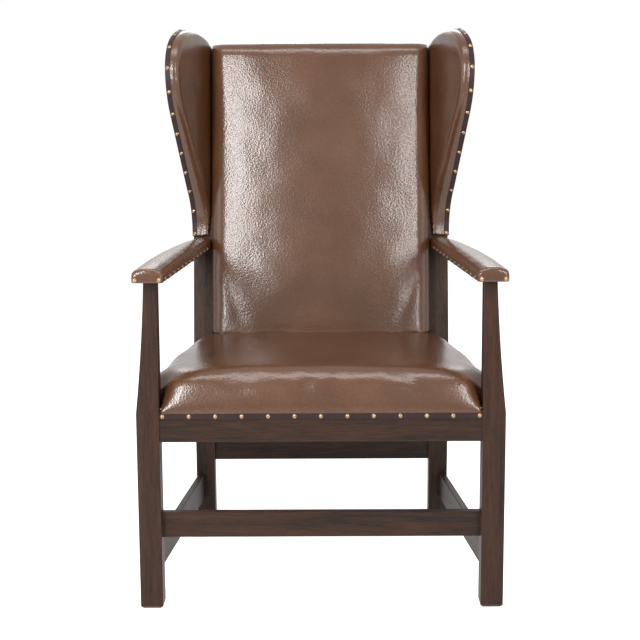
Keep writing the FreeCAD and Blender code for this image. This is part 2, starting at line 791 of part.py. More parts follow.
def build_arms(fore):
    """The arm boards, their stuffing, leather and nails. fore is the front leg that each board sits on."""
    body = new_body("arm_board_blank")
    body.Placement = ARM
    plan = sketch_on(body, "XY_Plane")
    gap = "(leather + slack)"
    end = ARM_LENGTH + " + 2"
    outline(
        plan,
        [
            ("arm_outer - arm_width + " + gap, "3 + " + gap),
            ("arm_outer - " + gap, "3 + " + gap),
            ("arm_rear_outer - " + gap, end),
            ("arm_rear_outer - arm_rear_width + " + gap, end),
        ],
        {1: ("arm_bow", -1)},
    )
    pad(body, plan, "arm_board")
    hind = shaped("behind_the_posts", behind_posts(size("slack")))
    pair(cut(body, [hind, fore], "arm_board"), "arm_board")
    inner = arm_form(size("leather"), -5)
    over_board = moved(box((0, 500), (-50, 900), (size("arm_board") + size("slack"), 100)), ARM)
    pair(shaped("arm_stuffing", inner.common(over_board).cut(hind.Shape)), "arm_stuffing")
    cover = arm_form(0, 0).cut(inner).cut(hind.Shape)
    pair(shaped("arm_leather", cover), "arm_leather")
    height = size("band_width") / 2
    row = []
    for side, turn in ((0, -1), (1, 1)):
        ends = [Vector(arm_sides(along)[side], along, height) for along in (32, ARM_RUN - 22)]
        for point in spread(*ends):
            row.append((Vector(arm_sides(point.y)[side], point.y, height), Vector(turn, 0, 0)))
    for side, turn in ((0, 1), (1, -1)):
        row.append((Vector(arm_sides(0)[side] + turn * 7, 0, height), Vector(0, -1, 0)))
    pair(shaped("arm_nails", moved(nails(row), ARM)), "arm_nails")


# Wings, in a frame that starts at the post's outer front edge: x forward along the wing's outer face,
# y up the rake and z inwards through its thickness

WING_FLARE = math.asin(size("wing_outer - rear_outer - leather") / size("wing_reach"))
WING = RAKE.multiply(
    FreeCAD.Placement(
        Vector(size("rear_outer + leather"), 0, 0),
        FreeCAD.Rotation(
            Vector(math.sin(WING_FLARE), -math.cos(WING_FLARE), 0),
            Vector(0, 0, 1),
            Vector(-math.cos(WING_FLARE), -math.sin(WING_FLARE), 0),
            "XYZ",
        ),
    )
)


def through(points, bulges, height=None):
    """Edges from point to point, each an arc that bulges to the right of its chord by so much, or straight.
    height gives the third coordinate from the first."""
    def lifted(point):
        return Vector(point.x, point.y, height(point.x)) if height else point

    edges = []
    for start, end, bulge in zip(points, points[1:], bulges):
        if bulge == 0:
            edges.append(Part.LineSegment(lifted(start), lifted(end)).toShape())
            continue
        chord = end - start
        middle = (start + end) * 0.5 + Vector(chord.y, -chord.x, 0).normalize() * bulge
        edges.append(Part.Arc(lifted(start), lifted(middle), lifted(end)).toShape())
    return edges


def wing_points():
    """The corners of the wing's free edge, from its foot on the arm round to the top of the post, and the
    bulge of each stretch between them."""
    corners = (
        ("wing_foot_reach", "wing_foot"),
        ("wing_ankle_reach", "wing_ankle"),
        ("wing_elbow_reach", "wing_elbow"),
        ("wing_reach", "wing_nose"),
        ("wing_shoulder_reach", "wing_shoulder"),
        ("0", "wing_heel"),
    )
    points = [Vector(size(reach), size(height), 0) for reach, height in corners]
    return points, [
        -size("wing_hollow"), 0, size("wing_front_bulge"), size("wing_nose_bulge"), size("wing_top_bulge"),
    ]


def drawn_in(points, bulges, inset):
    """The same corners and bulges moved into the wing by inset."""
    edges = through(points, bulges)
    inner = [points[0] - Vector(inset, 0, 0)]
    for before, after, point in zip(edges, edges[1:], points[1:]):
        heading = before.tangentAt(before.LastParameter) + after.tangentAt(after.FirstParameter)
        inner.append(point + Vector(-heading.y, heading.x, 0).normalize() * inset)
    inner.append(points[-1] - Vector(0, inset, 0))
    flatter = []
    for start, end, bulge in zip(points, points[1:], bulges):
        radius = (end - start).Length ** 2 / (8 * bulge) + bulge / 2 if bulge else 1
        flatter.append(bulge * (1 - inset / radius))
    return inner, flatter


def along_wing(first, pitch):
    """Points on the wing's edge, a pitch apart from first, each with the direction out of the wing."""
    places = []
    left = first
    for edge in through(*wing_points()):
        while left < edge.Length:
            parameter = edge.getParameterByLength(left)
            heading = edge.tangentAt(parameter)
            places.append((edge.valueAt(parameter), Vector(heading.y, -heading.x, 0)))
            left += pitch
        left -= edge.Length
    return places


def wing_outline(inset, height=None):
    """The wing seen square on, drawn in from its free edge by inset and carried on well behind the post's
    front, where it is cut off later."""
    points, bulges = drawn_in(*wing_points(), inset)
    foot, heel = points[0], points[-1]
    points += [Vector(-80, heel.y, 0), Vector(-80, foot.y, 0), foot]
    return Part.Wire(through(points, bulges + [0, 0, 0], height))


def wing_form(inset, outer):
    """The padded wing with its inner edge rounded, and a tongue over the top of the post. It thins from
    the post to its foremost point, and outer is the depth of its outer face."""
    root, tip = size("wing_root_thick") - inset, size("wing_thick") - inset
    slope, roll = (tip - root) / size("wing_reach"), size("wing_roll") - inset / 2
    edge = size("band_thick") + inset
    sections = [wing_outline(edge, lambda x: outer)]
    for angle in QUARTER:
        depth = root - roll * (1 - math.sin(angle))
        sections.append(wing_outline(edge + roll * (1 - math.cos(angle)), lambda x, d=depth: d + slope * x))
    tongue_end = -size("rear_top_depth") - 3
    under_tongue = box((-100, 0), (0, size("wing_heel - wing_tongue")), (-10, 100))
    beyond_tongue = box((-100, tongue_end), (0, 900), (-10, 100))
    return Part.makeLoft(sections, True, True).cut(under_tongue).cut(beyond_tongue)


def build_wings(post):
    """The sawn frame, padding, leather, band and nails of the wings, round the back post."""
    skin, band = size("leather"), size("band_thick")
    ahead = Part.makePlane(400, 900, Vector(0, size("wing_frame_foot"), 0))
    core = Part.Face(wing_outline(band + skin + size("wing_frame_cover"))).common(ahead).Faces[0]
    hollow = Part.Face(core.OuterWire.makeOffset2D(-size("wing_frame_width")))
    hoop = core.cut(hollow).extrude(Vector(0, 0, size("wing_frame_thick")))
    hoop = moved(hoop, WING.multiply(FreeCAD.Placement(Vector(0, 0, skin), FreeCAD.Rotation())))
    hoop = hoop.cut(behind_posts(0))
    inner_limit = moved(box((-500, size(REAR_INNER) + 1), (-400, 300), (-400, 900)), RAKE)
    under = wing_form(skin, skin)
    under = moved(under, WING).cut(inner_limit).cut(post.Shape)
    over = moved(wing_form(0, skin), WING).cut(inner_limit).cut(post.Shape)
    pair(shaped("wing_frame", hoop), "wing_frame")
    pair(shaped("wing_padding", under.cut(hoop)), "wing_padding")
    pair(shaped("wing_leather", over.cut(under).cut(hoop)), "wing_leather")
    inner = Part.Face(wing_outline(band))
    panel = moved(inner.extrude(Vector(0, 0, skin)), WING).cut(behind_posts(-1))
    side = moved(
        box(
            (size("rear_outer"), size("rear_outer") + skin),
            (0, size("rear_top_depth")),
            (size("wing_foot"), size("wing_heel - 2")),
        ),
        RAKE,
    )
    pair(shaped("wing_outer_leather", panel.fuse(side).removeSplitter()), "wing_outer_leather")
    strip = Part.Face(wing_outline(0)).cut(inner).extrude(Vector(0, 0, size("band_width")))
    strip = moved(strip, FreeCAD.Placement(Vector(0, 0, 1), FreeCAD.Rotation()))
    keep_front = box((4, 400), (size("wing_foot") + 4, 900), (-20, 60))
    pair(shaped("wing_band", moved(strip.common(keep_front), WING)), "wing_band")
    row = []
    for point, out in along_wing(5, size("wing_nail_pitch")):
        row.append((Vector(point.x, point.y, 1 + size("band_width") / 2), out))
    pair(shaped("wing_nails", moved(nails(row), WING)), "wing_nails")


# The seat and the back

def seat_edge(side):
    """The side edge of the seat's leather, from the front leg to the back post."""
    start, end = size("leg_front + leg_depth") + 1, size(REAR_FRONT) - 1
    return [Vector(side * seat_half_width(y), y, 0) for y in (start, end)]


def zigzag():
    """One seat spring: straight runs across, joined by half-round bends, from front rail to rear rail."""
    half, bend = size("spring_half_width"), size("spring_bend")
    start, end = size("leg_front + rail_setback") + 12, size(REAR_FRONT) + 22
    runs = int((end - start) // (2 * bend)) + 1
    edges = []
    for index in range(runs):
        y, side = start + 2 * bend * index, 1 if index % 2 == 0 else -1
        near, far = Vector(-side * half, y, 0), Vector(side * half, y, 0)
        edges.append(Part.LineSegment(near, far).toShape())
        if index < runs - 1:
            middle = far + Vector(side * bend, bend, 0)
            edges.append(Part.Arc(far, middle, far + Vector(0, 2 * bend, 0)).toShape())
    section = Part.Wire(Part.makeCircle(size("spring_wire"), Vector(-half, start, 0), Vector(1, 0, 0)))
    spring = Part.Wire(edges).makePipeShell([section], True, False)
    points = [(index, point) for index, edge in enumerate(edges) for point in edge.discretize(9)]
    gap = min((p - q).Length for i, p in points for k, q in points if k > i + 1) - 2 * size("spring_wire")
    print("seat spring: %d runs, least gap %.1f mm" % (runs, gap))
    return spring


def build_seat():
    """Springs on the rails, hessian over them, the stuffing, its leather, the band and the nails."""
    spring = zigzag()
    height = size("rail_bottom + rail_height + spring_wire + slack")
    springs = [
        moved(spring, FreeCAD.Placement(Vector(size("spring_spacing") * step, 0, height), FreeCAD.Rotation()))
        for step in (-2, -1, 0, 1, 2)
    ]
    keep(shaped("seat_springs", Part.makeCompound(springs)), "seat_springs")
    level = height + size("spring_wire + slack")
    front, rear = size("leg_front + rail_setback") + 1, SEAT_REAR - 1
    deck = prism(
        [
            Vector(side * (seat_half_width(y) - 3), y, level)
            for side, y in ((-1, front), (1, front), (1, rear), (-1, rear))
        ],
        Vector(0, 0, size("cloth")),
    )
    keep(shaped("seat_hessian", deck.cut(leg_notches(1.5))), "seat_hessian")
    inner = seat_form(size("leather"), size("seat_skirt") - 10)
    over = box((-500, 500), (-500, 500), (level + size("cloth + slack"), 600))
    keep(shaped("seat_stuffing", inner.common(over).cut(leg_notches(3))), "seat_stuffing")
    open_rear = box((-500, 500), (SEAT_REAR - 1, 500), (300, 600))
    cover = seat_form(0, size("seat_skirt")).cut(inner).cut(leg_notches(1)).cut(open_rear)
    keep(shaped("seat_leather", cover), "seat_leather")
    strip = doc.addObject("Part::Box", "seat_band_front")
    strip.setExpression("Length", bound("2*(%s) - 2" % LEG_INNER))
    strip.setExpression("Width", bound("band_thick"))
    strip.setExpression("Height", bound("band_width"))
    strip.setExpression(".Placement.Base.x", bound("1 - (%s)" % LEG_INNER))
    strip.setExpression(".Placement.Base.y", bound("leg_front + rail_setback - leather - band_thick"))
    strip.setExpression(".Placement.Base.z", bound("seat_skirt"))
    keep(strip, "seat_band_front")
    near, far = seat_edge(1)
    out = Vector(far.y - near.y, near.x - far.x, 0).normalize()
    lift, face = Vector(0, 0, size("seat_skirt")), out * size("band_thick")
    corners = [near + lift, far + lift, far + lift + face, near + lift + face]
    band = prism(corners, Vector(0, 0, size("band_width")))
    pair(shaped("seat_band", band), "seat_band")
    nail_line = size("seat_skirt + band_width/2")
    first, front_face = size(LEG_INNER) - 6, SEAT_FRONT - size("band_thick")
    row = spread(Vector(-first, front_face, nail_line), Vector(first, front_face, nail_line))
    keep(shaped("seat_nails_front", nails([(point, Vector(0, -1, 0)) for point in row])), "seat_nails_front")
    offset, inset = Vector(0, 0, nail_line) + face, (far - near).normalize() * 18
    row = spread(near + offset + inset, far + offset - inset)
    pair(shaped("seat_nails", nails([(point, out) for point in row])), "seat_nails")
    hind = rear + size("rail_thick")
    under = prism(
        [
            Vector(side * (seat_half_width(y) - 6), y, size("rail_bottom - cloth"))
            for side, y in ((-1, front), (1, front), (1, hind), (-1, hind))
        ],
        Vector(0, 0, size("cloth")),
    )
    keep(shaped("dust_cover", under.cut(leg_notches(1))), "dust_cover")


def build_back():
    """Webbing and hessian between the posts, the stuffing, its leather and the outside back."""
    half, strip, thick = size(REAR_INNER), size("webbing_width"), size("webbing_thick")
    low, high = size("back_rail_foot"), size(RAKED_TOP + " - back_rail_drop")
    strips = []
    tacked = low + 15
    for step in range(6):
        base = low + 30 + step * (high - low - strip - 60) / 5
        strips.append(box((-half, half), (0, thick), (base, base + strip)))
    for step in (-1.5, -0.5, 0.5, 1.5):
        middle = step * (2 * half - strip) / 4
        across = (middle - strip / 2, middle + strip / 2)
        strips.append(box(across, (thick + 0.2, 2 * thick + 0.2), (tacked, high)))
    keep(shaped("back_webbing", moved(Part.makeCompound(strips), RAKE)), "back_webbing")
    wide = size("back_half_width") - 1
    hessian = box((-wide, wide), (-size("cloth") - 0.2, -0.2), (low + 18, high))
    keep(shaped("back_hessian", moved(hessian, RAKE)), "back_hessian")
    over_seat = box((-500, 500), (0, 600), (size("back_foot"), 1200))
    rear = -size("cloth") - 0.4
    inner = back_form(size("leather"), rear)
    behind = moved(box((-500, 500), (rear, 100), (-100, high + 2)), RAKE)
    keep(shaped("back_stuffing", inner.common(over_seat).cut(behind)), "back_stuffing")
    cover = back_form(0, rear).common(over_seat).cut(behind)
    hollow = back_form(size("leather"), rear + 8).fuse(inner)
    keep(shaped("back_leather", cover.cut(hollow)), "back_leather")
    build_outside_back()


def build_outside_back():
    """The leather panel across the hind faces of the posts, and the nails round its edge."""
    top_front = size(REAR_FRONT + " + (rear_post_top - rake_height)*tan(back_rake*1deg)")
    foot = Vector(0, size(REAR_FRONT + " + rear_depth"), size("rake_height"))
    head = Vector(0, top_front + size("rear_top_depth"), size("rear_post_top"))
    up = (head - foot).normalize()
    out = Vector(0, up.z, -up.y)
    low, high = foot - up * 6 + out * size("slack"), head + up * 4 + out * size("slack")
    half = Vector(size("rear_outer + leather"), 0, 0)
    panel = prism([low - half, low + half, high + half, high - half], out * size("leather"))
    keep(shaped("back_outer_leather", panel), "back_outer_leather")
    edge, skin = size("nail_head") + 3, out * size("leather")
    inset = half - Vector(edge, 0, 0)
    bottom, top = low + up * edge + skin, high - up * edge + skin
    places = []
    for side in (-1, 1):
        places += spread(bottom + inset * side, top + inset * side)
    for level in (bottom, top):
        places += spread(level - inset, level + inset)[1:-1]
    keep(shaped("back_nails", nails([(point, out) for point in places])), "back_nails")


def write_parts():
    """Checks every object of the document, then writes each sub-part's solids to its own file."""
    doc.recompute()
    faults = ["%s: %s" % (o.Label, o.State) for o in doc.Objects if {"Invalid", "Error"} & set(o.State)]
    for part in SUBPARTS:
        if part.Shape.isNull() or not part.Shape.isValid() or not part.Shape.Solids:
            faults.append("%s has no valid shape" % part.Label)
    if faults:
        raise RuntimeError("\n".join(faults))
    os.makedirs("parts", exist_ok=True)
    for part in SUBPARTS:
        part.Shape.exportStep("parts/%s.step" % part.Label)


fore_leg, uncut_post = build_frame()
doc.recompute()
build_arms(fore_leg)
build_wings(uncut_post)
build_seat()
build_back()
write_parts()
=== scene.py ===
import math

import bmesh
import bpy
import numpy as np
from bpy.props import FloatProperty, FloatVectorProperty, IntProperty, PointerProperty
from mathutils import Matrix, Vector, noise


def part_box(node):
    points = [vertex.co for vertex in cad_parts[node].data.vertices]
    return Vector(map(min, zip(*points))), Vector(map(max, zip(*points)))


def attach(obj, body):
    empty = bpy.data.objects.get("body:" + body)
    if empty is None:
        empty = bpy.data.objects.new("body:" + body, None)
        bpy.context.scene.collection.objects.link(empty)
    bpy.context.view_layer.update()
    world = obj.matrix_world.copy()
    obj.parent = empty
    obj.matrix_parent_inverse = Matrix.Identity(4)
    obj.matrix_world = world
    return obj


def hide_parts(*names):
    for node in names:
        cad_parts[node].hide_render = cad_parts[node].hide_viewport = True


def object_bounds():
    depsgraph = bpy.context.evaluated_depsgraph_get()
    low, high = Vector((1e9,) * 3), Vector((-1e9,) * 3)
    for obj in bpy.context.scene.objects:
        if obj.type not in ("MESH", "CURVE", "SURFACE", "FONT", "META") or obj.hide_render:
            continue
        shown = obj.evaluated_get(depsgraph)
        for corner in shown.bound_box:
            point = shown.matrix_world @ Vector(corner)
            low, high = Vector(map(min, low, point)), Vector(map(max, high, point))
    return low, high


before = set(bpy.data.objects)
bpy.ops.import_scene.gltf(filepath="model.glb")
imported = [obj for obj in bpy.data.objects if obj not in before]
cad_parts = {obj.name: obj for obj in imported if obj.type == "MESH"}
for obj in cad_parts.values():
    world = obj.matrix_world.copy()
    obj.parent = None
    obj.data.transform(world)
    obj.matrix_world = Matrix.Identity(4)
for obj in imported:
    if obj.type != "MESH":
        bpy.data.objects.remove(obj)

bl_info = {
    "name": "Wing armchair",
    "version": (1, 0, 0),
    "blender": (4, 5, 0),
    "location": "3D View > Sidebar > Armchair",
    "description": "Dresses the frame of a wing armchair in leather, nails and stained beech",
    "category": "Object",
}

CAD_LOW, CAD_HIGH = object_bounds()
MM = 0.001
# What keeps a cover's skin off the timber inside it.
CLEAR = 0.3 * MM
# How much the planed timber's edges and the leather's cut edges are rubbed round.
EASED = 0.8 * MM
FORWARD, UP, INWARD_OF_LEFT = (0, -1, 0), (0, 0, 1), (-1, 0, 0)

# Heights over the seat leather's lower edge: where the stuffing starts to push and pushes fully, and the same
# for where the wadding rounds the edges off.
SEAT_PUSHED = (25 * MM, 60 * MM)
SEAT_ROUNDED = (15 * MM, 45 * MM)
# How far behind the chair's front the seat's roll starts to level out and is level, and how much of the
# rounding is left there.
SEAT_ROLL = (140 * MM, 330 * MM)
SEAT_LEVEL = 0.12
# The seat's underside lies within the first height of the leather's lower edge, and the leather is trimmed
# level within the second.
SEAT_UNDERSIDE, SEAT_TRIM = 8 * MM, 3 * MM
# The soft crease at the back's lower left corner, from the arm down and inwards to the seat.
CORNER_CREASE = ((0.225, 0.188, 0.600), (0.163, 0.156, 0.440))
# The fine wrinkles beside the left wing: their heights, how far across they run and how much they rise.
WRINKLE_HEIGHTS = (0.845, 0.872, 0.896, 0.915, 0.938)
WRINKLE_ACROSS = (0.150, 0.207)
WRINKLE_RISE = 10 * MM
# The raked back's front lies at this place front to back at this height, and leans back by this slope.
BACK_PLACE, BACK_HEIGHT, BACK_SLOPE = 0.255, 0.89, 0.22

UPRIGHT_TIMBER = ["front_leg_left", "front_leg_right", "rear_leg_left", "rear_leg_right"]
CROSS_TIMBER = ["front_seat_rail", "rear_seat_rail", "front_stretcher", "rear_stretcher",
                "back_top_rail", "back_lower_rail"]
FORE_AND_AFT_TIMBER = ["side_seat_rail_left", "side_seat_rail_right",
                       "side_stretcher_left", "side_stretcher_right"]
HIDDEN_TIMBER = ["corner_blocks", "arm_board_left", "arm_board_right", "wing_frame_left", "wing_frame_right"]
BANDS = ["seat_band_front", "seat_band_left", "seat_band_right", "wing_band_left", "wing_band_right"]
NAILS = ["seat_nails_front", "seat_nails_left", "seat_nails_right", "arm_nails_left", "arm_nails_right",
         "wing_nails_left", "wing_nails_right", "back_nails"]
OUTSIDE_COVERS = ["back_outer_leather", "wing_outer_leather_left", "wing_outer_leather_right"]


def linear(code):
    """An sRGB hex colour as linear red, green and blue."""
    values = [int(code[i:i + 2], 16) / 255 for i in (0, 2, 4)]
    return tuple(v / 12.92 if v <= 0.04045 else ((v + 0.055) / 1.055) ** 2.4 for v in values)


class ArmchairFinish(bpy.types.PropertyGroup):
    hide_light: FloatVectorProperty(
        name="Hide, worn", description="Leather where it is rubbed paler", subtype="COLOR",
        default=linear("573824"))
    hide_dark: FloatVectorProperty(
        name="Hide, dyed", description="Leather in the body of the hide", subtype="COLOR",
        default=linear("4B2F1C"))
    banding: FloatVectorProperty(
        name="Banding", description="Dark leather strip under the nails", subtype="COLOR",
        default=linear("2C1818"))
    stain_light: FloatVectorProperty(
        name="Stain, pale streak", description="Beech where the stain took least", subtype="COLOR",
        default=linear("3A2214"))
    stain_dark: FloatVectorProperty(
        name="Stain, dark streak", description="Beech where the stain took most", subtype="COLOR",
        default=linear("0F0804"))
    nail_metal: FloatVectorProperty(
        name="Nail", description="Aged brass of the nail heads", subtype="COLOR",
        default=linear("A08468"))


class ArmchairPadding(bpy.types.PropertyGroup):
    mesh_size: FloatProperty(
        name="Mesh size", description="Spacing of the covers' points", unit="LENGTH", default=5.5 * MM)
    fine_mesh_size: FloatProperty(
        name="Fine mesh size", description="Spacing of the points on arms and wings",
        unit="LENGTH", default=3 * MM)
    swell: FloatProperty(
        name="Swell", description="The most that the stuffing pushes a cover out", unit="LENGTH",
        default=9 * MM)
    pressure: FloatProperty(
        name="Pressure", description="Push of the stuffing against the leather", default=4.0)
    leather: FloatProperty(
        name="Leather", description="Thickness of the seat's leather", unit="LENGTH", default=2 * MM)
    frames: IntProperty(name="Frames", description="Frames that the stuffing settles for", default=20)


class ArmchairStage(bpy.types.PropertyGroup):
    camera_place: FloatVectorProperty(
        name="Camera", description="Where the camera stands", subtype="TRANSLATION", unit="LENGTH",
        default=(0.0069, -3.1639, 1.0739))
    camera_down: FloatProperty(
        name="Down", description="How far the camera looks down", subtype="ANGLE",
        default=math.radians(10.38))
    camera_turn: FloatProperty(
        name="Turn", description="How far the camera turns to its right", subtype="ANGLE",
        default=math.radians(-0.158))
    camera_roll: FloatProperty(
        name="Roll", description="How far the camera leans to its right", subtype="ANGLE",
        default=math.radians(-0.278))
    lens: FloatProperty(name="Lens", description="Focal length", unit="CAMERA", default=87.37)


# Materials

def add(tree, kind, settings=None, links=None):
    """Adds a node. settings are its own attributes or its inputs' values, links its inputs' sources."""
    node = tree.nodes.new(kind)
    for key, value in (settings or {}).items():
        if isinstance(key, str) and hasattr(node, key):
            setattr(node, key, value)
        else:
            node.inputs[key].default_value = value
    for key, source in (links or {}).items():
        tree.links.new(source, node.inputs[key])
    return node


def rgba(colour):
    return (*colour[:3], 1.0)


def new_material(name):
    """An empty material and its tree, surface socket and object coordinates."""
    material = bpy.data.materials.new(name)
    material.use_nodes = True
    tree = material.node_tree
    tree.nodes.clear()
    output = add(tree, "ShaderNodeOutputMaterial")
    place = add(tree, "ShaderNodeTexCoord").outputs["Object"]
    return material, tree, output.inputs["Surface"], place


def per_metre(millimetres):
    """The texture scale that repeats once in so many millimetres."""
    return 1000 / millimetres


def hide(name, light, dark, roughness, shine=0.5):
    """Pigmented cowhide with a rolled, waxed surface. The grain breaks up the wide soft highlights, and the
    dye is uneven from one hand's breadth to the next."""
    material, tree, surface, place = new_material(name)
    clouds = add(tree, "ShaderNodeTexNoise",
                 {"Scale": per_metre(90), "Detail": 3.0, "Roughness": 0.55}, {"Vector": place})
    speckle = add(tree, "ShaderNodeTexNoise",
                  {"Scale": per_metre(5), "Detail": 2.0, "Roughness": 0.6}, {"Vector": place})
    both = add(tree, "ShaderNodeMix", {"Factor": 0.40},
               {"A": clouds.outputs["Fac"], "B": speckle.outputs["Fac"]})
    dye = add(tree, "ShaderNodeValToRGB", links={"Fac": both.outputs["Result"]})
    dye.color_ramp.elements[0].position = 0.36
    dye.color_ramp.elements[0].color = rgba(dark)
    dye.color_ramp.elements[1].position = 0.64
    dye.color_ramp.elements[1].color = rgba(light)
    # A hide's pebbles are about 1 mm across, too fine to show here, so they are drawn at 4 mm.
    pebbles = add(tree, "ShaderNodeTexVoronoi",
                  {"Scale": per_metre(4), "Randomness": 1.0}, {"Vector": place})
    # The creases between the pebbles are about twice as long as they are wide.
    drawn = add(tree, "ShaderNodeMapping", {"Scale": (1.0, 1.0, 0.45)}, {"Vector": place})
    creases = add(tree, "ShaderNodeTexNoise",
                  {"Scale": per_metre(7), "Detail": 4.0, "Roughness": 0.62, "Distortion": 0.4},
                  {"Vector": drawn.outputs["Vector"]})
    fine = add(tree, "ShaderNodeBump", {"Strength": 0.40, "Distance": 0.5 * MM},
               {"Height": pebbles.outputs["Distance"]})
    bump = add(tree, "ShaderNodeBump", {"Strength": 0.20, "Distance": 0.8 * MM},
               {"Height": creases.outputs["Fac"], "Normal": fine.outputs["Normal"]})
    polish = add(tree, "ShaderNodeMapRange", {"To Min": roughness - 0.04, "To Max": roughness + 0.06},
                 {"Value": both.outputs["Result"]})
    shader = add(tree, "ShaderNodeBsdfPrincipled", {"IOR": 1.5, "Specular IOR Level": shine},
                 {"Base Color": dye.outputs["Color"], "Roughness": polish.outputs["Result"],
                  "Normal": bump.outputs["Normal"]})
    tree.links.new(shader.outputs["BSDF"], surface)
    return material


def stained_beech(name, along, light, dark):
    """Beech, planed, stained nearly black-brown and lacquered to a satin. The stain follows the grain, so the
    wood shows long dark and rusty streaks with short pores between them, and its edges are worn paler. along
    is the axis that the grain follows."""
    material, tree, surface, place = new_material(name)
    # The figure is drawn out about 14 times along the grain.
    stretch = [1.0, 1.0, 1.0]
    stretch["XYZ".index(along)] = 0.07
    drawn = add(tree, "ShaderNodeMapping", {"Scale": tuple(stretch)}, {"Vector": place})
    figure = add(tree, "ShaderNodeTexNoise",
                 {"Scale": per_metre(26), "Detail": 3.0, "Roughness": 0.5, "Distortion": 0.6},
                 {"Vector": drawn.outputs["Vector"]})
    streaks = add(tree, "ShaderNodeTexNoise",
                  {"Scale": per_metre(5), "Detail": 5.0, "Roughness": 0.65},
                  {"Vector": drawn.outputs["Vector"]})
    # Beech's pores are a tenth of a millimetre wide, drawn here at 1.6 mm so that they show.
    pores = add(tree, "ShaderNodeTexNoise",
                {"Scale": per_metre(1.6), "Detail": 2.0, "Roughness": 0.7},
                {"Vector": drawn.outputs["Vector"]})
    coarse = add(tree, "ShaderNodeMix", {"Factor": 0.5},
                 {"A": figure.outputs["Fac"], "B": streaks.outputs["Fac"]})
    grain = add(tree, "ShaderNodeMix", {"Factor": 0.28},
                {"A": coarse.outputs["Result"], "B": pores.outputs["Fac"]})
    stain = add(tree, "ShaderNodeValToRGB", links={"Fac": grain.outputs["Result"]})
    stain.color_ramp.elements[0].position = 0.40
    stain.color_ramp.elements[0].color = rgba(dark)
    stain.color_ramp.elements[1].position = 0.60
    stain.color_ramp.elements[1].color = rgba(light)
    rounded = add(tree, "ShaderNodeBevel", {"samples": 4, "Radius": 1.6 * MM})
    flat = add(tree, "ShaderNodeNewGeometry").outputs["Normal"]
    bend = add(tree, "ShaderNodeVectorMath", {"operation": "DOT_PRODUCT"},
               {0: rounded.outputs["Normal"], 1: flat})
    rub = add(tree, "ShaderNodeMapRange", {"From Min": 0.99, "From Max": 0.88, "To Max": 0.55},
              {"Value": bend.outputs["Value"]})
    worn = add(tree, "ShaderNodeMix", {"data_type": "RGBA", "B": rgba(linear("7A5A45"))},
               {"Factor": rub.outputs["Result"], "A": stain.outputs["Color"]})
    bump = add(tree, "ShaderNodeBump", {"Strength": 0.12, "Distance": 0.5 * MM},
               {"Height": grain.outputs["Result"]})
    satin = add(tree, "ShaderNodeMapRange", {"To Min": 0.56, "To Max": 0.40},
                {"Value": grain.outputs["Result"]})
    shader = add(tree, "ShaderNodeBsdfPrincipled", {"IOR": 1.5, "Specular IOR Level": 0.22},
                 {"Base Color": worn.outputs["Result"], "Roughness": satin.outputs["Result"],
                  "Normal": bump.outputs["Normal"]})
    tree.links.new(shader.outputs["BSDF"], surface)
    return material


def metal(name, colour, roughness, blemish):
    """A metal part with uneven tarnish, which varies how sharply it reflects, and painted shade that darkens
    it where it meets something else. blemish is the size of the tarnished spots in millimetres."""
    material, tree, surface, place = new_material(name)
    tarnish = add(tree, "ShaderNodeTexNoise",
                  {"Scale": per_metre(blemish), "Detail": 3.0}, {"Vector": place})
    tone = add(tree, "ShaderNodeValToRGB", links={"Fac": tarnish.outputs["Fac"]})
    tone.color_ramp.elements[0].position = 0.3
    tone.color_ramp.elements[0].color = rgba([c * 0.55 for c in colour[:3]])
    tone.color_ramp.elements[1].position = 0.6
    tone.color_ramp.elements[1].color = rgba(colour)
    dullness = add(tree, "ShaderNodeMapRange", {"To Min": roughness + 0.15, "To Max": roughness},
                   {"Value": tarnish.outputs["Fac"]})
    # Painted shade: the colour is darkened wherever something else lies within a few millimetres of the
    # metal.
    hollow = add(tree, "ShaderNodeAmbientOcclusion", {"samples": 4, "Distance": 5 * MM})
    painted_shade = add(tree, "ShaderNodeMapRange", {"From Min": 0.55, "From Max": 0.95, "To Min": 0.06},
                {"Value": hollow.outputs["AO"]})
    tarnish_and_shade = add(tree, "ShaderNodeVectorMath", {"operation": "SCALE"},
               {0: tone.outputs["Color"], "Scale": painted_shade.outputs["Result"]})
    shader = add(tree, "ShaderNodeBsdfPrincipled", {"Metallic": 1.0},
                 {"Base Color": tarnish_and_shade.outputs["Vector"], "Roughness": dullness.outputs["Result"]})
    tree.links.new(shader.outputs["BSDF"], surface)
    return material


def woven(name, light, dark, thread):
    """Plain-woven cloth, matt and slightly hairy. thread is the threads' spacing in millimetres."""
    material, tree, surface, place = new_material(name)
    bands = []
    for direction in ("X", "Z"):
        # This texture repeats every tau / 20 at a scale of 1.
        scale = per_metre(thread) * math.tau / 20
        bands.append(add(tree, "ShaderNodeTexWave",
                         {"bands_direction": direction, "Scale": scale, "Distortion": 0.3},
                         {"Vector": place}))
    weave = add(tree, "ShaderNodeMath", {"operation": "MULTIPLY"},
                {0: bands[0].outputs["Fac"], 1: bands[1].outputs["Fac"]})
    fuzz = add(tree, "ShaderNodeTexNoise",
               {"Scale": per_metre(thread * 2), "Detail": 4.0}, {"Vector": place})
    mixed = add(tree, "ShaderNodeMix", {"Factor": 0.5},
                {"A": weave.outputs["Value"], "B": fuzz.outputs["Fac"]})
    tone = add(tree, "ShaderNodeValToRGB", links={"Fac": mixed.outputs["Result"]})
    tone.color_ramp.elements[0].color = rgba(dark)
    tone.color_ramp.elements[1].color = rgba(light)
    bump = add(tree, "ShaderNodeBump", {"Strength": 0.5, "Distance": 0.5 * MM},
               {"Height": mixed.outputs["Result"]})
    shader = add(tree, "ShaderNodeBsdfPrincipled", {"Roughness": 0.9},
                 {"Base Color": tone.outputs["Color"], "Normal": bump.outputs["Normal"]})
    tree.links.new(shader.outputs["BSDF"], surface)
    return material


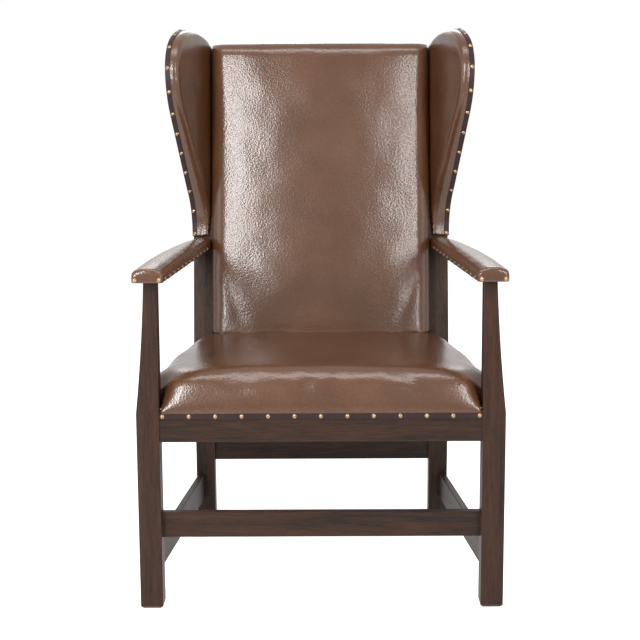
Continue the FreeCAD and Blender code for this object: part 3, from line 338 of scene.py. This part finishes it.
def chair_leather():
    """The brown hide, made once and shared by every cover."""
    finish = bpy.context.scene.armchair_finish
    name = "waxed_cowhide"
    return bpy.data.materials.get(name) or hide(
        name, finish.hide_light, finish.hide_dark, roughness=0.23)


# Meshes

def dress(node, material, bevel=0.0):
    """Gives a carried-over node its material, soft shading and, where asked, rubbed edges."""
    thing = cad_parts[node]
    thing.data.materials.clear()
    thing.data.materials.append(material)
    for face in thing.data.polygons:
        face.use_smooth = True
        face.material_index = 0
    if bevel:
        rubbed = thing.modifiers.new("rubbed_edges", "BEVEL")
        rubbed.width = bevel
        rubbed.segments = 2
        rubbed.limit_method = "ANGLE"
        rubbed.angle_limit = math.radians(35)
        rubbed.harden_normals = True
    return thing


def points_of(mesh):
    """A mesh's points as an array."""
    flat = np.empty(len(mesh.vertices) * 3)
    mesh.vertices.foreach_get("co", flat)
    return flat.reshape(-1, 3)


def set_points(mesh, points):
    mesh.vertices.foreach_set("co", points.ravel())
    mesh.update()


def normals_of(mesh):
    flat = np.empty(len(mesh.vertices) * 3)
    mesh.vertices.foreach_get("normal", flat)
    return flat.reshape(-1, 3)


def joined(name, nodes, edit=None):
    """A new object with the meshes of several nodes. edit may change each node's points first."""
    shape = bmesh.new()
    for node in nodes:
        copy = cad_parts[node].data.copy()
        if edit:
            set_points(copy, edit(points_of(copy)))
        shape.from_mesh(copy)
        bpy.data.meshes.remove(copy)
    bmesh.ops.remove_doubles(shape, verts=shape.verts, dist=0.01 * MM)
    mesh = bpy.data.meshes.new(name)
    shape.to_mesh(mesh)
    shape.free()
    piece = bpy.data.objects.new(name, mesh)
    bpy.context.scene.collection.objects.link(piece)
    return piece


def applied(piece):
    """Makes a piece's modifiers part of its mesh."""
    graph = bpy.context.evaluated_depsgraph_get()
    mesh = bpy.data.meshes.new_from_object(piece.evaluated_get(graph))
    piece.modifiers.clear()
    old = piece.data
    piece.data = mesh
    bpy.data.meshes.remove(old)
    return piece


def smooth(piece, passes):
    evener = piece.modifiers.new("smooth", "SMOOTH")
    evener.factor = 0.5
    evener.iterations = passes
    return applied(piece)


def relaxed(piece, loose, passes):
    """Rounds a piece off where it is loose, as wadding lies over an edge."""
    mesh = piece.data
    ends = np.empty(len(mesh.edges) * 2, dtype=int)
    mesh.edges.foreach_get("vertices", ends)
    ends = ends.reshape(-1, 2)
    here, there = np.concatenate((ends, ends[:, ::-1])).T
    points = points_of(mesh)
    count = np.bincount(here, minlength=len(points))[:, None]
    share = 0.5 * loose(points, normals_of(mesh))[:, None]
    for step in range(passes):
        mean = np.stack([np.bincount(here, points[there, k], len(points)) for k in range(3)], 1) / count
        points += share * (mean - points)
    set_points(mesh, points)


def refined(piece):
    """Halves the spacing of a piece's points along a smooth surface."""
    finer = piece.modifiers.new("finer", "SUBSURF")
    finer.levels = 1
    return applied(piece)


def lumpy(piece, loose, depth, spread):
    """Gives the stuffing its slight unevenness, so that a highlight on the leather breaks up softly. spread
    is about how far apart the lumps are."""
    points = points_of(piece.data)
    facing = normals_of(piece.data)
    height = np.array([noise.noise(Vector(point) / spread) for point in points])
    set_points(piece.data, points + facing * (height * depth * loose(points, facing))[:, None])


def creased(piece, start, end, width, depth):
    """Presses a soft crease into a cover along a line between two places. It is shallow at its ends."""
    points = points_of(piece.data)
    start, end = np.array(start), np.array(end)
    run = end - start
    share = np.clip((points - start) @ run / (run @ run), 0, 1)
    away = np.linalg.norm(points - start - share[:, None] * run, axis=1)
    press = depth * np.exp(-(away / width) ** 2) * np.sin(np.pi * (0.1 + 0.8 * share))
    set_points(piece.data, points - normals_of(piece.data) * press[:, None])


def evened(piece, spacing, passes):
    """Remakes a piece as one closed skin of even points that keeps its own shape. passes smooths out the
    steps that the remesh leaves."""
    shape = bpy.data.objects.new("shape", piece.data.copy())
    bpy.context.scene.collection.objects.link(shape)
    remesh = piece.modifiers.new("even", "REMESH")
    remesh.mode = "VOXEL"
    remesh.voxel_size = spacing
    applied(piece)
    smooth(piece, passes)
    # From a little outside, each point finds the outer skin and not a face inside it.
    offset(piece, 1.5 * MM)
    wrap = piece.modifiers.new("wrap", "SHRINKWRAP")
    wrap.target = shape
    wrap.wrap_method = "NEAREST_SURFACEPOINT"
    applied(piece)
    bpy.data.meshes.remove(shape.data)
    return piece


def offset(piece, distance):
    """Moves every point of a piece out by a distance."""
    set_points(piece.data, points_of(piece.data) + normals_of(piece.data) * distance)


def stuffed(piece, loose):
    """Lets the stuffing push the leather out. loose gives how free each point is, from 0 to 1, from its place
    and the way it faces."""
    padding = bpy.context.scene.armchair_padding
    start = points_of(piece.data)
    freedom = loose(start, normals_of(piece.data))
    cloth = piece.modifiers.new("stuffing", "CLOTH")
    cloth.settings.quality = 5
    cloth.settings.mass = 0.4
    cloth.settings.tension_stiffness = 30
    cloth.settings.compression_stiffness = 30
    cloth.settings.shear_stiffness = 15
    cloth.settings.bending_stiffness = 2
    cloth.settings.use_pressure = True
    cloth.settings.uniform_pressure_force = padding.pressure
    cloth.settings.effector_weights.gravity = 0
    cloth.point_cache.frame_start = 1
    cloth.point_cache.frame_end = padding.frames
    scene = bpy.context.scene
    for number in range(1, padding.frames + 1):
        scene.frame_set(number)
    graph = bpy.context.evaluated_depsgraph_get()
    settled = points_of(piece.evaluated_get(graph).data)
    piece.modifiers.clear()
    scene.frame_set(1)
    move = settled - start
    length = np.maximum(np.linalg.norm(move, axis=1), 1e-9)
    move *= (np.minimum(length, padding.swell) / length * freedom)[:, None]
    set_points(piece.data, start + move)


def finished(piece, material, replaced, levels=1):
    """Shades a cover, gives it its leather and its body, and lets it stand for its nodes. levels is how often
    its points' spacing is still halved."""
    piece.data.materials.clear()
    piece.data.materials.append(material)
    for face in piece.data.polygons:
        face.use_smooth = True
    if levels:
        finer = piece.modifiers.new("finer", "SUBSURF")
        finer.levels = levels
        finer.render_levels = levels
    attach(piece, "root")
    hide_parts(*replaced)
    return piece


def mirror_of(piece, name):
    """The other side's piece, mirrored across the chair's middle."""
    mesh = piece.data.copy()
    points = points_of(mesh)
    points[:, 0] *= -1
    set_points(mesh, points)
    mesh.flip_normals()
    other = bpy.data.objects.new(name, mesh)
    bpy.context.scene.collection.objects.link(other)
    return other


def smoothstep(values, low, high):
    """Grows softly from 0 at low to 1 at high."""
    share = np.clip((values - low) / (high - low), 0, 1)
    return share * share * (3 - 2 * share)


def turned_to(direction, start, full):
    """A function that says how loose a point is by the way it faces. Along the direction, it is held below
    start and free above full, both cosines."""
    def loose(place, facing):
        return smoothstep(facing @ np.array(direction), start, full)
    return loose


# Pieces

class ARMCHAIR_OT_timber(bpy.types.Operator):
    """Stains the legs, rails and stretchers, each with its grain along its length, and leaves the rest raw"""
    bl_idname = "armchair.timber"
    bl_label = "Timber"

    def execute(self, context):
        finish = context.scene.armchair_finish
        for along, nodes in (("Z", UPRIGHT_TIMBER), ("X", CROSS_TIMBER), ("Y", FORE_AND_AFT_TIMBER)):
            name = "stained_beech_" + along.lower()
            stain = stained_beech(name, along, finish.stain_light, finish.stain_dark)
            for node in nodes:
                dress(node, stain, bevel=EASED)
        # Inside the covers the beech is left unstained, so it is pale and dry.
        raw = stained_beech("raw_beech", "X", linear("B08A62"), linear("8A6644"))
        for node in HIDDEN_TIMBER:
            dress(node, raw)
        return {"FINISHED"}


class ARMCHAIR_OT_seat(bpy.types.Operator):
    """Stretches the leather over the seat, round the posts and down over the rails"""
    bl_idname = "armchair.seat"
    bl_label = "Seat"

    def execute(self, context):
        padding = context.scene.armchair_padding
        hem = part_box("seat_leather")[0].z
        stuffing_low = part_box("seat_stuffing")[0].z

        def lowered(points):
            points[points[:, 2] < stuffing_low + 1 * MM, 2] = hem
            return points

        def loose(place, facing):
            return smoothstep(place[:, 2] - hem, *SEAT_PUSHED)

        def rolled(place, facing):
            front = 1 - smoothstep(place[:, 1] - CAD_LOW.y, *SEAT_ROLL)
            return smoothstep(place[:, 2] - hem, *SEAT_ROUNDED) * (SEAT_LEVEL + (1 - SEAT_LEVEL) * front)

        seat = evened(joined("seat_cover", ["seat_stuffing"], lowered), padding.mesh_size, passes=4)
        offset(seat, padding.leather)
        relaxed(seat, rolled, passes=150)
        stuffed(seat, loose)
        relaxed(seat, loose, passes=12)
        refined(seat)
        lumpy(seat, loose, depth=0.8 * MM, spread=70 * MM)
        self.opened_below(seat, hem)
        thick = seat.modifiers.new("leather", "SOLIDIFY")
        thick.thickness = padding.leather
        thick.offset = -1
        finished(seat, chair_leather(), ["seat_leather", "seat_stuffing"], levels=0)
        return {"FINISHED"}

    def opened_below(self, seat, hem):
        """Takes the underside off the cover and trims its lower edge level."""
        shape = bmesh.new()
        shape.from_mesh(seat.data)
        low = hem + SEAT_UNDERSIDE
        under = [f for f in shape.faces if f.normal.z < -0.5 and f.calc_center_median().z < low]
        bmesh.ops.delete(shape, geom=under, context="FACES")
        shape.to_mesh(seat.data)
        shape.free()
        points = points_of(seat.data)
        points[points[:, 2] < hem + SEAT_TRIM, 2] = hem
        set_points(seat.data, points)


class ARMCHAIR_OT_back(bpy.types.Operator):
    """Stretches the leather over the stuffed back and its top rail"""
    bl_idname = "armchair.back"
    bl_label = "Back"

    def execute(self, context):
        padding = context.scene.armchair_padding
        low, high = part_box("back_leather")
        front = turned_to(FORWARD, 0.1, 0.5)

        def loose(place, facing):
            across = np.clip(np.abs(place[:, 0]) / high.x, 0, 1)
            up = np.clip((place[:, 2] - low.z) / (high.z - low.z), 0, 1)
            dome = (1 - across ** 2) * (1 - (2 * up - 1) ** 4)
            return dome * front(place, facing)

        parts = ["back_stuffing", "back_leather", "back_hessian"]
        back = evened(joined("back_cover", parts), padding.mesh_size, passes=4)
        # The stuffing swells the back from a little over the solid.
        offset(back, 0.8 * MM)
        stuffed(back, loose)
        relaxed(back, loose, passes=8)
        refined(back)
        lumpy(back, turned_to(FORWARD, 0.1, 0.6), depth=1.0 * MM, spread=60 * MM)
        for side in (-1, 1):
            start, end = [(side * x, y, z) for x, y, z in CORNER_CREASE]
            creased(back, start, end, width=16 * MM, depth=1.6 * MM)
        inner, outer = WRINKLE_ACROSS
        for height in WRINKLE_HEIGHTS:
            far = BACK_PLACE + BACK_SLOPE * (height - BACK_HEIGHT)
            start, end = (inner, far, height), (outer, far, height + WRINKLE_RISE)
            creased(back, start, end, width=4 * MM, depth=0.35 * MM)
        finished(back, chair_leather(), ["back_leather", "back_stuffing"], levels=0)
        return {"FINISHED"}


class ARMCHAIR_OT_arms(bpy.types.Operator):
    """Covers the arm boards and their stuffing"""
    bl_idname = "armchair.arms"
    bl_label = "Arms"

    def execute(self, context):
        padding = context.scene.armchair_padding
        parts = ("arm_stuffing_", "arm_leather_", "arm_board_")
        solids = joined("arm_cover_left", [stem + "left" for stem in parts])
        left = evened(solids, padding.fine_mesh_size, passes=4)
        relaxed(left, turned_to(UP, -0.2, 0.3), passes=4)
        lumpy(left, turned_to(UP, 0.2, 0.8), depth=0.7 * MM, spread=45 * MM)
        offset(left, CLEAR)
        right = mirror_of(left, "arm_cover_right")
        for piece, side in ((left, "left"), (right, "right")):
            finished(piece, chair_leather(), ["arm_stuffing_" + side, "arm_leather_" + side])
        return {"FINISHED"}


class ARMCHAIR_OT_wings(bpy.types.Operator):
    """Covers the wings, whose inner edge rolls over to the dark band, and the outside of the chair"""
    bl_idname = "armchair.wings"
    bl_label = "Wings"

    def execute(self, context):
        padding = context.scene.armchair_padding
        parts = ("wing_leather_", "wing_padding_", "wing_frame_")
        solids = joined("wing_cover_left", [stem + "left" for stem in parts])
        left = evened(solids, padding.fine_mesh_size, passes=4)
        relaxed(left, turned_to(INWARD_OF_LEFT, -0.2, 0.5), passes=6)
        lumpy(left, turned_to(INWARD_OF_LEFT, 0.2, 0.8), depth=1.0 * MM, spread=55 * MM)
        offset(left, CLEAR)
        right = mirror_of(left, "wing_cover_right")
        for piece, side in ((left, "left"), (right, "right")):
            finished(piece, chair_leather(), ["wing_leather_" + side, "wing_padding_" + side])
        for node in OUTSIDE_COVERS:
            dress(node, chair_leather(), bevel=EASED)
        return {"FINISHED"}


class ARMCHAIR_OT_trim(bpy.types.Operator):
    """Gives the bands their dark leather and the nails their brass"""
    bl_idname = "armchair.trim"
    bl_label = "Bands and nails"

    def execute(self, context):
        finish = context.scene.armchair_finish
        darker = [c * 0.5 for c in finish.banding]
        strip = hide("dark_banding", finish.banding, darker, roughness=0.50, shine=0.25)
        brass = metal("aged_brass", finish.nail_metal, roughness=0.25, blemish=3)
        for node in BANDS:
            dress(node, strip, bevel=0.4 * MM)
        for node in NAILS:
            dress(node, brass)
        return {"FINISHED"}


class ARMCHAIR_OT_inside(bpy.types.Operator):
    """Finishes what the covers hide: springs, screws, hessian, webbing and the cloth underneath"""
    bl_idname = "armchair.inside"
    bl_label = "Inside"

    def execute(self, context):
        steel = metal("drawn_steel_wire", linear("8C8C8E"), roughness=0.35, blemish=8)
        jute = woven("jute_hessian", linear("B79B6B"), linear("6E5632"), thread=2.0)
        web = woven("flax_webbing", linear("BFAE88"), linear("5F5236"), thread=1.6)
        black = woven("black_cotton", linear("2A2A2C"), linear("101012"), thread=1.2)
        for nodes, material in (
            (("seat_springs", "corner_block_screws"), steel),
            (("seat_hessian", "back_hessian"), jute),
            (("back_webbing",), web),
            (("dust_cover",), black),
        ):
            for node in nodes:
                dress(node, material)
        # The seat's two cloths are narrower at the back.
        return {"FINISHED"}


def softbox(name, place, target, width, height, power):
    """A rectangular lamp at a place, aimed at a target, with its width and height in metres and its power in
    watts. Its long soft mirror image on the leather gives the highlights."""
    lamp = bpy.data.lights.new(name, "AREA")
    lamp.shape = "RECTANGLE"
    lamp.size = width
    lamp.size_y = height
    lamp.energy = power
    holder = bpy.data.objects.new(name, lamp)
    holder.location = place
    holder.rotation_mode = "QUATERNION"
    holder.rotation_quaternion = (Vector(target) - Vector(place)).to_track_quat("-Z", "Y")
    holder.visible_camera = False
    bpy.context.scene.collection.objects.link(holder)


def seen_directly(tree):
    """1 for the camera and for mirror and glass rays, and 0 for all other light."""
    rays = add(tree, "ShaderNodeLightPath")
    sharp = add(tree, "ShaderNodeMath", {"operation": "MAXIMUM"},
                {0: rays.outputs["Is Camera Ray"], 1: rays.outputs["Is Glossy Ray"]})
    seen = add(tree, "ShaderNodeMath", {"operation": "MAXIMUM"},
               {0: sharp.outputs["Value"], 1: rays.outputs["Is Transmission Ray"]})
    return seen.outputs["Value"]


class ARMCHAIR_OT_stage(bpy.types.Operator):
    """Sets the floor, the lamps, the world and the camera"""
    bl_idname = "armchair.stage"
    bl_label = "Stage"

    def execute(self, context):
        scene = context.scene
        stage = scene.armchair_stage
        scene.view_settings.view_transform = "Standard"
        world = bpy.data.worlds.new("studio")
        scene.world = world
        world.use_nodes = True
        tree = world.node_tree
        tree.nodes.clear()
        output = add(tree, "ShaderNodeOutputWorld")
        soft = add(tree, "ShaderNodeBackground", {"Color": (1, 1, 1, 1), "Strength": 0.15})
        white = add(tree, "ShaderNodeBackground", {"Color": (1, 1, 1, 1), "Strength": 1.0})
        mix = add(tree, "ShaderNodeMixShader", links={
            0: seen_directly(tree), 1: soft.outputs["Background"], 2: white.outputs["Background"]})
        tree.links.new(mix.outputs["Shader"], output.inputs["Surface"])
        self.floor()
        back, middle, seat = (0, 0.1, 0.7), (0, 0, 0.7), (0, -0.2, 0.4)
        softbox("left_softbox", (-0.98, -1.8, 1.55), back, width=0.27, height=1.35, power=44)
        softbox("right_softbox", (1.08, -1.8, 1.5), back, width=0.20, height=1.4, power=26)
        softbox("far_left_softbox", (-2.4, -0.6, 1.4), middle, width=1.0, height=1.8, power=10)
        softbox("far_right_softbox", (2.4, -0.6, 1.4), middle, width=1.0, height=1.8, power=8)
        softbox("top_softbox", (0.0, -0.35, 2.55), seat, width=1.8, height=0.5, power=20)
        softbox("rear_softbox", (0.0, 2.6, 1.9), (0, 0, 0.6), width=1.8, height=1.0, power=20)
        forward = Vector((
            math.sin(stage.camera_turn) * math.cos(stage.camera_down),
            math.cos(stage.camera_turn) * math.cos(stage.camera_down),
            -math.sin(stage.camera_down),
        ))
        level = Vector((math.cos(stage.camera_turn), -math.sin(stage.camera_turn), 0))
        above = level.cross(forward)
        right = level * math.cos(stage.camera_roll) + above * math.sin(stage.camera_roll)
        up = above * math.cos(stage.camera_roll) - level * math.sin(stage.camera_roll)
        data = bpy.data.cameras.new("camera")
        data.lens = stage.lens
        data.sensor_width = 36
        data.clip_start = 0.05
        data.clip_end = 50
        camera = bpy.data.objects.new("camera", data)
        turn = Matrix((right, up, -forward)).transposed()
        camera.matrix_world = Matrix.Translation(stage.camera_place) @ turn.to_4x4()
        scene.collection.objects.link(camera)
        scene.camera = camera
        return {"FINISHED"}

    def floor(self):
        """A pale, matt floor that takes the chair's shadow. To the camera it also glows, so that it goes
        over into the white behind it."""
        mesh = bpy.data.meshes.new("floor")
        half = 8.0
        corners = [(-half, -half, 0), (half, -half, 0), (half, half, 0), (-half, half, 0)]
        mesh.from_pydata(corners, [], [(0, 1, 2, 3)])
        material, tree, surface, place = new_material("pale_floor")
        paint = add(tree, "ShaderNodeBsdfDiffuse", {"Color": rgba(linear("F4F4F4"))})
        glow = add(tree, "ShaderNodeMath", {"operation": "MULTIPLY", 1: 0.88}, {0: seen_directly(tree)})
        white = add(tree, "ShaderNodeEmission", {"Color": (1, 1, 1, 1)},
                    {"Strength": glow.outputs["Value"]})
        both = add(tree, "ShaderNodeAddShader",
                   links={0: paint.outputs["BSDF"], 1: white.outputs["Emission"]})
        tree.links.new(both.outputs["Shader"], surface)
        mesh.materials.append(material)
        floor = bpy.data.objects.new("floor", mesh)
        bpy.context.scene.collection.objects.link(floor)


OPERATORS = (
    ARMCHAIR_OT_timber, ARMCHAIR_OT_seat, ARMCHAIR_OT_back, ARMCHAIR_OT_arms, ARMCHAIR_OT_wings,
    ARMCHAIR_OT_trim, ARMCHAIR_OT_inside, ARMCHAIR_OT_stage,
)


class ARMCHAIR_PT_panel(bpy.types.Panel):
    """Lists the armchair's sizes and colours and the steps that dress it"""
    bl_idname = "ARMCHAIR_PT_panel"
    bl_label = "Armchair"
    bl_space_type = "VIEW_3D"
    bl_region_type = "UI"
    bl_category = "Armchair"

    def draw(self, context):
        for name, group in GROUPS.items():
            for setting in group.__annotations__:
                self.layout.prop(getattr(context.scene, name), setting)
        for operator in OPERATORS:
            self.layout.operator(operator.bl_idname)


GROUPS = {
    "armchair_finish": ArmchairFinish, "armchair_padding": ArmchairPadding, "armchair_stage": ArmchairStage,
}
CLASSES = (*GROUPS.values(), *OPERATORS, ARMCHAIR_PT_panel)


def register():
    for thing in CLASSES:
        bpy.utils.register_class(thing)
    for name, group in GROUPS.items():
        setattr(bpy.types.Scene, name, PointerProperty(type=group))


def unregister():
    for name in GROUPS:
        delattr(bpy.types.Scene, name)
    for thing in reversed(CLASSES):
        bpy.utils.unregister_class(thing)


def main():
    register()
    for operator in OPERATORS:
        getattr(bpy.ops.armchair, operator.bl_idname.split(".")[1])()


if __name__ == "__main__":
    main()
